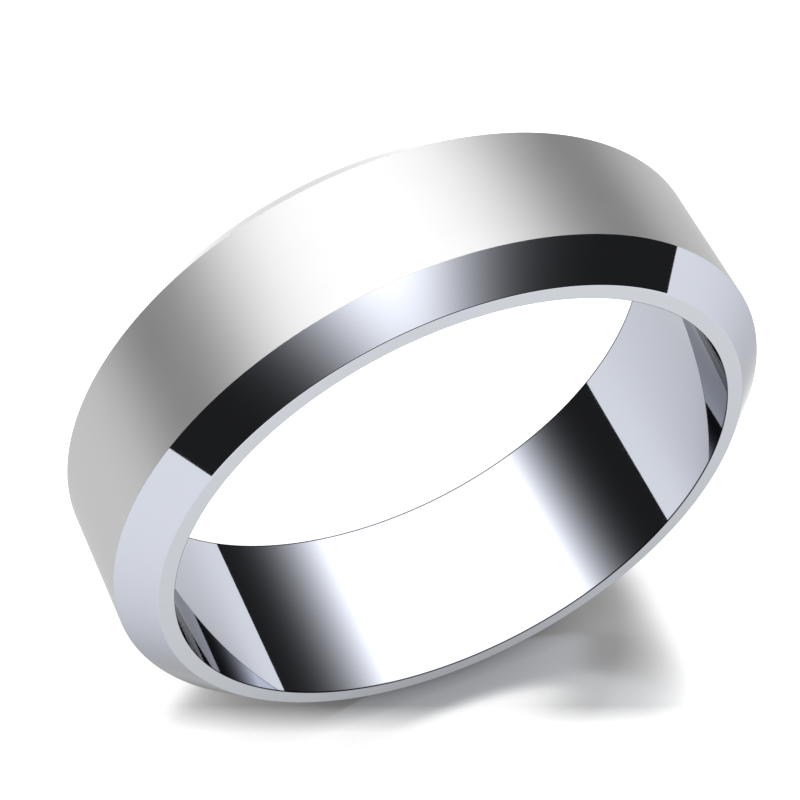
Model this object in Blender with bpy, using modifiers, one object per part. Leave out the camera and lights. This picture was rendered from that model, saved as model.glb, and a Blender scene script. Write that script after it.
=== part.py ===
"""Bevelled wedding band with a satin centre band let into a polished ring body.

Metres, +Z up. The ring stands on its outer face as it would on a table: the finger
bore runs along Y, and the origin is at the centre of the bore. Each piece is one
turned profile. A profile point is (radius, height along the turning axis), and the
turning axis is then laid along Y.
"""

import math

import bpy

# Driving dimensions
BAND_WIDTH = 0.0060
OUTER_DIAMETER = 0.0207
BORE_DIAMETER = 0.0177
BEVEL_RADIAL = 0.0010
BEVEL_AXIAL = 0.00098
CHANNEL_DEPTH = 0.00060
FIT_GAP = 0.00001
BORE_EDGE_RADIUS = 0.00008
CHANNEL_CORNER_RADIUS = 0.00010

# Fineness of the turned shapes
SEGMENTS = 128
ARC_STEPS = 3
SHARP_ANGLE = math.radians(25)

# Worked out from the driving dimensions
OUTER_RADIUS = OUTER_DIAMETER / 2
BORE_RADIUS = BORE_DIAMETER / 2
RIM_RADIUS = OUTER_RADIUS - BEVEL_RADIAL
HALF_WIDTH = BAND_WIDTH / 2
HALF_FACE = HALF_WIDTH - BEVEL_AXIAL
CHANNEL_RADIUS = OUTER_RADIUS - CHANNEL_DEPTH


def clear_scene():
    for old in list(bpy.data.objects):
        bpy.data.objects.remove(old, do_unlink=True)


def new_collection(name):
    collection = bpy.data.collections.new(name)
    bpy.context.scene.collection.children.link(collection)
    return collection


def metal(name, colour, roughness):
    material = bpy.data.materials.new(name)
    material.use_nodes = True
    shader = material.node_tree.nodes["Principled BSDF"]
    shader.inputs["Base Color"].default_value = (*colour, 1.0)
    shader.inputs["Metallic"].default_value = 1.0
    shader.inputs["Roughness"].default_value = roughness
    return material


def arc(centre, radius, start, end):
    """Points along an arc, from the start angle to the end angle in degrees, both ends included."""
    points = []
    for step in range(ARC_STEPS + 1):
        angle = math.radians(start + (end - start) * step / ARC_STEPS)
        points.append(
            (centre[0] + radius * math.cos(angle), centre[1] + radius * math.sin(angle))
        )
    return points


def turned(name, profile, material, collection):
    """A closed profile, running down its outer side, turned right round the Y axis."""
    mesh = bpy.data.meshes.new(name)
    points = [(radius, 0.0, height) for radius, height in profile]
    edges = [(i, (i + 1) % len(points)) for i in range(len(points))]
    mesh.from_pydata(points, edges, [])
    piece = bpy.data.objects.new(name, mesh)
    collection.objects.link(piece)

    screw = piece.modifiers.new("Turn", "SCREW")
    screw.axis = "Z"
    screw.angle = math.tau
    screw.steps = SEGMENTS
    screw.render_steps = SEGMENTS
    screw.use_merge_vertices = True
    screw.merge_threshold = 0.000001

    graph = bpy.context.evaluated_depsgraph_get()
    turned_mesh = bpy.data.meshes.new_from_object(piece.evaluated_get(graph))
    piece.modifiers.clear()
    piece.data = turned_mesh
    turned_mesh.name = name
    turned_mesh.shade_smooth()
    turned_mesh.set_sharp_from_angle(angle=SHARP_ANGLE)
    turned_mesh.materials.clear()
    turned_mesh.materials.append(material)
    piece.rotation_euler = (math.radians(-90), 0.0, 0.0)
    return piece


def ring_body(collection):
    """Bore, rims and bevels in one turned body, with a channel round its outside for the centre band."""
    top_crest = [(OUTER_RADIUS, HALF_FACE)]
    channel_top = arc(
        (CHANNEL_RADIUS + CHANNEL_CORNER_RADIUS, HALF_FACE - CHANNEL_CORNER_RADIUS),
        CHANNEL_CORNER_RADIUS,
        90,
        180,
    )
    channel_bottom = [(radius, -height) for radius, height in reversed(channel_top)]
    bottom_crest = [(OUTER_RADIUS, -HALF_FACE)]
    bottom_rim = [(RIM_RADIUS, -HALF_WIDTH)]
    bore_bottom = arc(
        (BORE_RADIUS + BORE_EDGE_RADIUS, -HALF_WIDTH + BORE_EDGE_RADIUS),
        BORE_EDGE_RADIUS,
        270,
        180,
    )
    bore_top = [(radius, -height) for radius, height in reversed(bore_bottom)]
    top_rim = [(RIM_RADIUS, HALF_WIDTH)]
    profile = (
        top_crest + channel_top + channel_bottom + bottom_crest
        + bottom_rim + bore_bottom + bore_top + top_rim
    )
    material = metal("polished_metal", (0.86, 0.87, 0.91), 0.04)
    return turned("ring_body", profile, material, collection)


def satin_centre_band(collection):
    """The flush band that fills the channel, a hair's gap clear of its floor and shoulders."""
    inner = CHANNEL_RADIUS + FIT_GAP
    side = HALF_FACE - FIT_GAP
    corner = CHANNEL_CORNER_RADIUS
    bottom_corner = arc((inner + corner, -side + corner), corner, 270, 180)
    top_corner = [(radius, -height) for radius, height in reversed(bottom_corner)]
    profile = [(OUTER_RADIUS, side), (OUTER_RADIUS, -side)] + bottom_corner + top_corner
    material = metal("satin_metal", (0.78, 0.78, 0.77), 0.30)
    return turned("satin_centre_band", profile, material, collection)


def main():
    clear_scene()
    collection = new_collection("wedding_band")
    ring_body(collection)
    satin_centre_band(collection)


main()
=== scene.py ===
"""Looks of a bevelled wedding band: fine turned meshes, two metals, a pale table and a soft studio.

Metres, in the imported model's frame: the finger bore runs along Y, the ring stands on its
outer face, and the origin is at the centre of the bore.
"""

import math

import bpy
from mathutils import Matrix, Vector


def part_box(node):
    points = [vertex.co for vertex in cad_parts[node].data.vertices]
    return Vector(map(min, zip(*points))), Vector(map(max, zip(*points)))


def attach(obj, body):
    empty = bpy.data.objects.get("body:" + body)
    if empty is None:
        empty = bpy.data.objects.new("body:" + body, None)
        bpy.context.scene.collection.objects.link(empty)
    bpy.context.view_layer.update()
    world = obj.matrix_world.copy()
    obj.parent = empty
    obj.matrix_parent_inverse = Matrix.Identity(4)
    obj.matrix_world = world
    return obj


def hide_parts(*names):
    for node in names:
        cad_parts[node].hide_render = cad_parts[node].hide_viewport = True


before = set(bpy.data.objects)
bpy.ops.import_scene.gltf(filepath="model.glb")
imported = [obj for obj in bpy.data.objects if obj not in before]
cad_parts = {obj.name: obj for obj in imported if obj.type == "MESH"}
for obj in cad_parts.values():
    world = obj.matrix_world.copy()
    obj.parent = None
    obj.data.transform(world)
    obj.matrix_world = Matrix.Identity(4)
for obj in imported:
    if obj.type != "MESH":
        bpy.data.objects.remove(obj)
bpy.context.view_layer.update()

# Sizes of the ring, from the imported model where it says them
OUTER_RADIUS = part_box("ring_body")[1].z
HALF_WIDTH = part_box("ring_body")[1].y
FIT_GAP = 0.00001
HALF_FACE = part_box("satin_centre_band")[1].y + FIT_GAP
CHANNEL_RADIUS = OUTER_RADIUS - 0.0006
RIM_RADIUS = OUTER_RADIUS - 0.0010
BORE_RADIUS = 0.00885

# Small edge roundings, and the hair's gap between the two metals
RIM_EDGE_RADIUS = 0.00007
BORE_EDGE_RADIUS = 0.00001
CREST_EDGE_RADIUS = 0.000002
CHANNEL_CORNER_RADIUS = 0.00010
SEAM_GAP = 0.000001

# Fineness of the turned meshes
SEGMENTS = 720
ARC_STEPS = 6

# Places in the ring body's list of materials
BEVELS, RIMS, BORE = range(3)

# Polished metal: colour, and the share of it that is left at grazing angles. The bevels, rims and
# bore are copies of one polish; their different colours and edge tints are painted light and shade,
# not a difference in the metal.
BEVEL_COLOUR = (0.399, 0.414, 0.462, 1.0)
BEVEL_EDGE_TINT = 0.54
RIM_COLOUR = (0.397, 0.411, 0.438, 1.0)
RIM_EDGE_TINT = 0.56
BORE_COLOUR = (0.384, 0.399, 0.447, 1.0)
BORE_EDGE_TINT = 0.72

# Marks of the polishing wheel and of handling, which vary the roughness
POLISH_ROUGHNESS = (0.02, 0.05)
MARKS_RANGE = (0.15, 0.45)
WHEEL_LINES_SCALE = 30000.0
HANDLING_SCALE = 350.0

# Painted dark reflection: a thin dark line with soft edges where the bore meets each rim, standing
# in for the dark walls that a sharp edge reflects. It is this wide on the bore's wall, and narrower
# by this share on the rim.
PAINTED_EDGE_REFLECTION_WIDTH = 0.000045
PAINTED_EDGE_REFLECTION_FADE = (0.8 * PAINTED_EDGE_REFLECTION_WIDTH, 1.2 * PAINTED_EDGE_REFLECTION_WIDTH)
PAINTED_EDGE_REFLECTION_NARROWER = 3.0
PAINTED_EDGE_REFLECTION_COLOUR = (0.03, 0.03, 0.035, 1.0)

# Satin metal
SATIN_COLOUR = (0.384, 0.385, 0.383, 1.0)
SATIN_EDGE_TINT = 0.73
SATIN_ROUGHNESS = (0.415, 0.435)
SATIN_GRAIN_SCALE = 26000.0
SATIN_GRAIN_HEIGHT = 0.000002
SATIN_GRAIN_STRENGTH = 0.25
SATIN_CLOUDS_SCALE = 600.0
SATIN_CLOUDS_RANGE = (0.3, 0.7)

# The table top, whose middle lies a little behind and to the left of the ring
TABLE_RADIUS = 17.5 * OUTER_RADIUS
TABLE_MIDDLE = (-1.55 * OUTER_RADIUS, 2.5 * OUTER_RADIUS, -OUTER_RADIUS)

# The table's own brightness, and the polished film on it, which ends softly at a distance
# from the ring and along a line in front of it. The ring's own reflections show the film
# only in the strip that the ring stands over.
TABLE_LIGHT = 1.667
# Samples of the ambient occlusion that paints the table's shade
TABLE_SHADE_SAMPLES = 16
FILM_WEIGHT = 0.77
FILM_COLOUR = (0.39, 0.39, 0.39, 1.0)
FILM_ROUGHNESS = 0.22
FILM_REACH = (0.65 * OUTER_RADIUS, 1.4 * OUTER_RADIUS)
FILM_FRONT = (0.33 * OUTER_RADIUS, 0.43 * OUTER_RADIUS)
FILM_STRIP = (0.9 * HALF_WIDTH, 1.1 * HALF_WIDTH)

# The camera, aimed a little off the ring's centre: to its left and above it as the camera sees it
CAMERA_AZIMUTH = math.radians(-23.15)
CAMERA_ELEVATION = math.radians(53.27)
CAMERA_DISTANCE = 7.513 * OUTER_RADIUS
CAMERA_LENS_MM = 116.4
AIM_RIGHT = -0.0515 * OUTER_RADIUS
AIM_UP = 0.0957 * OUTER_RADIUS

# The studio light climbs from dark walls to full strength overhead. The elevation in
# degrees where it is half up, and how gently it climbs there, change round the room:
# each is a constant plus shares of forward, side, forward * side and forward * forward.
LIGHT_EDGE = (32.7, -1.45, 2.12, -3.6, -2.0)
LIGHT_SOFTNESS = (12.2, 1.5, 1.2, 2.0, -6.35)
SHADE_AT_EDGE = 0.74
SHADE_CLIMB = 0.47
DARKEST_SHADE = 0.137
DARK_BLEND = 0.83
LIGHT_STRENGTH = 2.185
LIGHT_POWER = 2.2
BRIGHTEST_LIGHT = 3.17

WHITE = (1.0, 1.0, 1.0, 1.0)


# Node helpers


def put(tree, socket, value):
    """Links a socket's value, or sets a plain one."""
    if isinstance(value, bpy.types.NodeSocket):
        tree.links.new(value, socket)
    else:
        socket.default_value = value


def maths(tree, operation, *values):
    node = tree.nodes.new("ShaderNodeMath")
    node.operation = operation
    for socket, value in zip(node.inputs, values):
        put(tree, socket, value)
    return node.outputs[0]


def axes(tree, vector):
    """The X, Y and Z of a vector."""
    node = tree.nodes.new("ShaderNodeSeparateXYZ")
    tree.links.new(vector, node.inputs[0])
    return node.outputs


def length(tree, a, b):
    """The length of a flat vector (a, b)."""
    squares = maths(tree, "ADD", maths(tree, "MULTIPLY", a, a), maths(tree, "MULTIPLY", b, b))
    return maths(tree, "SQRT", squares)


def spread(tree, value, from_low, from_high, to_low, to_high):
    """A value moved from one range to another, clamped."""
    node = tree.nodes.new("ShaderNodeMapRange")
    for name, given in (
        ("Value", value),
        ("From Min", from_low),
        ("From Max", from_high),
        ("To Min", to_low),
        ("To Max", to_high),
    ):
        put(tree, node.inputs[name], given)
    return node.outputs["Result"]


def noise(tree, vector, scale, detail, roughness):
    node = tree.nodes.new("ShaderNodeTexNoise")
    put(tree, node.inputs["Vector"], vector)
    node.inputs["Scale"].default_value = scale
    node.inputs["Detail"].default_value = detail
    node.inputs["Roughness"].default_value = roughness
    return node.outputs["Fac"]


def bump(tree, height, distance, strength):
    node = tree.nodes.new("ShaderNodeBump")
    put(tree, node.inputs["Height"], height)
    node.inputs["Distance"].default_value = distance
    node.inputs["Strength"].default_value = strength
    return node.outputs["Normal"]


def bare_metal(name, edge_tint):
    """A new metal, with its node tree, its shader and the object's coordinates."""
    material = bpy.data.materials.new(name)
    material.use_nodes = True
    tree = material.node_tree
    shader = tree.nodes["Principled BSDF"]
    shader.inputs["Metallic"].default_value = 1.0
    shader.inputs["Specular Tint"].default_value = (edge_tint, edge_tint, edge_tint, 1.0)
    place = tree.nodes.new("ShaderNodeTexCoord").outputs["Object"]
    return material, tree, shader, place


# The ring's two pieces


def arc(centre, radius, start, end):
    """Profile points (radius, y, normal angle) on an arc between two angles in degrees."""
    points = []
    for step in range(ARC_STEPS + 1):
        angle = math.radians(start + (end - start) * step / ARC_STEPS)
        points.append(
            (centre[0] + radius * math.cos(angle), centre[1] + radius * math.sin(angle), angle)
        )
    return points


def inner_arc(centre, radius, start, end):
    """As arc, for a hollow corner, whose normal points to the arc's centre."""
    return [(r, y, angle + math.pi) for r, y, angle in arc(centre, radius, start, end)]


def rounded_corner(corner, before, after, radius):
    """The arc that rounds an outward corner between faces with these normal angles in degrees."""
    half_turn = math.radians(before - after) / 2
    middle = math.radians(before + after) / 2
    reach = radius / math.cos(half_turn)
    centre = (corner[0] - reach * math.cos(middle), corner[1] - reach * math.sin(middle))
    return arc(centre, radius, before, after)


def mirrored(points):
    """The other half of a profile, which runs on from the first."""
    return [(r, -y, -angle) for r, y, angle in reversed(points)]


def turned(name, profile, materials, pick=lambda start, end: 0):
    """A closed profile turned round the Y axis, with the profile's exact normals.

    pick says which material the face between two neighbouring profile points takes.
    """
    count = len(profile)
    vertices = []
    normals = []
    for segment in range(SEGMENTS):
        turn = math.tau * segment / SEGMENTS
        cos, sin = math.cos(turn), math.sin(turn)
        for radius, y, angle in profile:
            vertices.append((radius * cos, y, radius * sin))
            normals.append((math.cos(angle) * cos, math.sin(angle), math.cos(angle) * sin))
    faces = []
    for segment in range(SEGMENTS):
        here = segment * count
        beyond = (segment + 1) % SEGMENTS * count
        for i in range(count):
            j = (i + 1) % count
            faces.append((here + i, here + j, beyond + j, beyond + i))
    mesh = bpy.data.meshes.new(name)
    mesh.from_pydata(vertices, [], faces)
    mesh.shade_smooth()
    mesh.normals_split_custom_set_from_vertices(normals)
    for material in materials:
        mesh.materials.append(material)
    picked = [pick(profile[i], profile[(i + 1) % count]) for i in range(count)]
    mesh.polygons.foreach_set("material_index", picked * SEGMENTS)
    piece = bpy.data.objects.new(name, mesh)
    bpy.context.scene.collection.objects.link(piece)
    return piece


def ring_body_surface(start, end):
    """Which of the body's materials lies between two profile points."""
    if max(start[0], end[0]) < BORE_RADIUS + 1.5 * BORE_EDGE_RADIUS:
        return BORE
    if min(abs(start[1]), abs(end[1])) > HALF_WIDTH - 0.1 * BORE_EDGE_RADIUS:
        return RIMS
    return BEVELS


def ring_body(materials):
    """Bore, rims, bevels and crests, with the channel that the satin band lies in."""
    bevel_angle = math.degrees(math.atan2(OUTER_RADIUS - RIM_RADIUS, HALF_WIDTH - HALF_FACE))
    crest = rounded_corner((OUTER_RADIUS, HALF_FACE), -90, bevel_angle, CREST_EDGE_RADIUS)
    rim_edge = rounded_corner((RIM_RADIUS, HALF_WIDTH), bevel_angle, 90, RIM_EDGE_RADIUS)
    bore_edge = rounded_corner((BORE_RADIUS, HALF_WIDTH), 90, 180, BORE_EDGE_RADIUS)
    channel = inner_arc(
        (CHANNEL_RADIUS + CHANNEL_CORNER_RADIUS, HALF_FACE - CHANNEL_CORNER_RADIUS),
        CHANNEL_CORNER_RADIUS,
        180,
        90,
    )
    half = channel + crest + rim_edge + bore_edge
    return turned("polished_ring_body", half + mirrored(half), materials, ring_body_surface)


def satin_band(material):
    """The flush band between the crests."""
    side = HALF_FACE - SEAM_GAP
    inner = CHANNEL_RADIUS + SEAM_GAP
    crest = rounded_corner((OUTER_RADIUS, side), 0, 90, CREST_EDGE_RADIUS)
    foot = rounded_corner((inner, side), 90, 180, CHANNEL_CORNER_RADIUS)
    half = crest + foot
    return turned("satin_centre_face", half + mirrored(half), (material,))


def painted_edge_reflection_colour(tree, radius, y, tint):
    """The metal's colour, with a painted dark reflection along the thin line where the bore meets a
    rim.
    """
    from_rim = maths(tree, "SUBTRACT", HALF_WIDTH, maths(tree, "ABSOLUTE", y))
    from_bore = maths(tree, "SUBTRACT", radius, BORE_RADIUS)
    from_bore = maths(tree, "MULTIPLY", from_bore, PAINTED_EDGE_REFLECTION_NARROWER)
    from_edge = maths(tree, "MAXIMUM", from_rim, from_bore)
    line = spread(tree, from_edge, *PAINTED_EDGE_REFLECTION_FADE, 1.0, 0.0)
    colour = tree.nodes.new("ShaderNodeMix")
    colour.data_type = "RGBA"
    put(tree, colour.inputs["Factor"], line)
    colour.inputs["A"].default_value = tint
    colour.inputs["B"].default_value = PAINTED_EDGE_REFLECTION_COLOUR
    return colour.outputs["Result"]


def polished_metal(name, tint, edge_tint, painted_edge_reflection):
    """Mirror polish on a cool white metal, with faint lines left by the polishing wheel."""
    material, tree, shader, place = bare_metal(name, edge_tint)
    x, y, z = axes(tree, place)
    radius = length(tree, x, z)
    across = tree.nodes.new("ShaderNodeCombineXYZ")
    put(tree, across.inputs[0], radius)
    put(tree, across.inputs[1], y)
    lines = noise(tree, across.outputs[0], WHEEL_LINES_SCALE, 4.0, 0.7)
    handling = noise(tree, place, HANDLING_SCALE, 4.0, 0.6)
    marks = maths(tree, "MULTIPLY", lines, handling)
    roughness = spread(tree, marks, *MARKS_RANGE, *POLISH_ROUGHNESS)
    put(tree, shader.inputs["Roughness"], roughness)

    shader.inputs["Base Color"].default_value = tint
    # Painted dark reflection along the edges where the bore meets the rims
    if painted_edge_reflection:
        colour = painted_edge_reflection_colour(tree, radius, y, tint)
        tree.links.new(colour, shader.inputs["Base Color"])
    return material


def satin_metal():
    """A fine even satin on a neutral white metal."""
    material, tree, shader, place = bare_metal("satin_metal", SATIN_EDGE_TINT)
    shader.inputs["Base Color"].default_value = SATIN_COLOUR
    grain = noise(tree, place, SATIN_GRAIN_SCALE, 2.0, 0.6)
    clouds = noise(tree, place, SATIN_CLOUDS_SCALE, 3.0, 0.5)
    roughness = spread(tree, clouds, *SATIN_CLOUDS_RANGE, *SATIN_ROUGHNESS)
    put(tree, shader.inputs["Roughness"], roughness)
    normal = bump(tree, grain, SATIN_GRAIN_HEIGHT, SATIN_GRAIN_STRENGTH)
    put(tree, shader.inputs["Normal"], normal)
    return material


# The stage


def table_material():
    """Glowing white table with soft painted shade where the ring keeps the light off it, and a
    polished film.
    """
    material = bpy.data.materials.new("white_table")
    material.use_nodes = True
    tree = material.node_tree
    tree.nodes.clear()
    output = tree.nodes.new("ShaderNodeOutputMaterial")
    white = tree.nodes.new("ShaderNodeEmission")
    film = tree.nodes.new("ShaderNodeBsdfGlossy")
    film.inputs["Color"].default_value = FILM_COLOUR
    film.inputs["Roughness"].default_value = FILM_ROUGHNESS

    # Painted shade: ambient occlusion dims the table's glow where the ring is near
    open_sky = tree.nodes.new("ShaderNodeAmbientOcclusion")
    open_sky.samples = TABLE_SHADE_SAMPLES
    light = maths(tree, "MULTIPLY", open_sky.outputs["AO"], TABLE_LIGHT)
    put(tree, white.inputs["Strength"], light)

    x, y, z = axes(tree, tree.nodes.new("ShaderNodeNewGeometry").outputs["Position"])
    near = spread(tree, length(tree, x, y), *FILM_REACH, FILM_WEIGHT, 0.0)
    in_front = maths(
        tree,
        "SUBTRACT",
        maths(tree, "MULTIPLY", x, math.sin(CAMERA_AZIMUTH)),
        maths(tree, "MULTIPLY", y, math.cos(CAMERA_AZIMUTH)),
    )
    weight = maths(tree, "MULTIPLY", near, spread(tree, in_front, *FILM_FRONT, 1.0, 0.0))
    beneath = spread(tree, maths(tree, "ABSOLUTE", y), *FILM_STRIP, 1.0, 0.0)
    by_camera = tree.nodes.new("ShaderNodeLightPath").outputs["Is Camera Ray"]
    seen = maths(tree, "MAXIMUM", by_camera, beneath)
    mix = tree.nodes.new("ShaderNodeMixShader")
    put(tree, mix.inputs[0], maths(tree, "MULTIPLY", seen, weight))
    tree.links.new(white.outputs[0], mix.inputs[1])
    tree.links.new(film.outputs[0], mix.inputs[2])
    tree.links.new(mix.outputs[0], output.inputs["Surface"])
    return material


def table():
    bpy.ops.mesh.primitive_circle_add(
        vertices=256, radius=TABLE_RADIUS, fill_type="NGON", location=TABLE_MIDDLE
    )
    top = bpy.context.object
    top.name = "table_top"
    top.data.materials.append(table_material())


def studio():
    """Dark walls up to a wide soft light overhead, on a pale backdrop."""
    world = bpy.data.worlds.new("soft_studio")
    world.use_nodes = True
    bpy.context.scene.world = world
    tree = world.node_tree
    x, y, z = axes(tree, tree.nodes.new("ShaderNodeTexCoord").outputs["Generated"])
    flat = maths(tree, "SQRT", maths(tree, "SUBTRACT", 1.0, maths(tree, "MULTIPLY", z, z)))
    forward = maths(tree, "DIVIDE", y, flat)
    side = maths(tree, "DIVIDE", x, flat)
    elevation = maths(tree, "DEGREES", maths(tree, "ARCSINE", z))

    def round_the_room(shares):
        total, *rest = shares
        diagonal = maths(tree, "MULTIPLY", forward, side)
        endways = maths(tree, "MULTIPLY", forward, forward)
        for part, share in zip((forward, side, diagonal, endways), rest):
            total = maths(tree, "MULTIPLY_ADD", part, share, total)
        return total

    climb = maths(tree, "SUBTRACT", elevation, round_the_room(LIGHT_EDGE))
    climb = maths(tree, "DIVIDE", climb, round_the_room(LIGHT_SOFTNESS))
    shade = maths(tree, "MULTIPLY_ADD", climb, SHADE_CLIMB, SHADE_AT_EDGE)
    shade = maths(tree, "SMOOTH_MAX", shade, DARKEST_SHADE, DARK_BLEND)
    light = maths(tree, "MULTIPLY", maths(tree, "POWER", shade, LIGHT_POWER), LIGHT_STRENGTH)
    light = maths(tree, "MINIMUM", light, BRIGHTEST_LIGHT)

    walls = tree.nodes["Background"]
    walls.inputs["Color"].default_value = WHITE
    tree.links.new(light, walls.inputs["Strength"])
    backdrop = tree.nodes.new("ShaderNodeBackground")
    backdrop.inputs["Color"].default_value = WHITE
    mix = tree.nodes.new("ShaderNodeMixShader")
    put(tree, mix.inputs[0], tree.nodes.new("ShaderNodeLightPath").outputs["Is Camera Ray"])
    tree.links.new(walls.outputs[0], mix.inputs[1])
    tree.links.new(backdrop.outputs[0], mix.inputs[2])
    tree.links.new(mix.outputs[0], tree.nodes["World Output"].inputs["Surface"])


def camera():
    data = bpy.data.cameras.new("photo_view")
    data.lens = CAMERA_LENS_MM
    data.sensor_width = 36.0
    data.clip_start = 0.001
    data.clip_end = 10.0
    back = Vector(
        (
            math.sin(CAMERA_AZIMUTH) * math.cos(CAMERA_ELEVATION),
            -math.cos(CAMERA_AZIMUTH) * math.cos(CAMERA_ELEVATION),
            math.sin(CAMERA_ELEVATION),
        )
    )
    right = Vector((math.cos(CAMERA_AZIMUTH), math.sin(CAMERA_AZIMUTH), 0.0))
    up = back.cross(right)
    view = bpy.data.objects.new("photo_view", data)
    turn = Matrix((right, up, back)).transposed().to_4x4()
    aim = right * AIM_RIGHT + up * AIM_UP
    view.matrix_world = Matrix.Translation(aim + back * CAMERA_DISTANCE) @ turn
    bpy.context.scene.collection.objects.link(view)
    bpy.context.scene.camera = view


camera()
studio()
table()

# The three polished materials are copies of one polish, with painted light and shade in their
# colours and edge tints
body = ring_body(
    (
        polished_metal("polished_bevels", BEVEL_COLOUR, BEVEL_EDGE_TINT, False),
        polished_metal("polished_rims", RIM_COLOUR, RIM_EDGE_TINT, True),
        polished_metal("polished_bore", BORE_COLOUR, BORE_EDGE_TINT, True),
    )
)
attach(body, "root")
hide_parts("ring_body")

band = satin_band(satin_metal())
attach(band, "root")
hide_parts("satin_centre_band")

bpy.context.scene.view_settings.view_transform = "Standard"
bpy.context.scene.view_settings.look = "None"
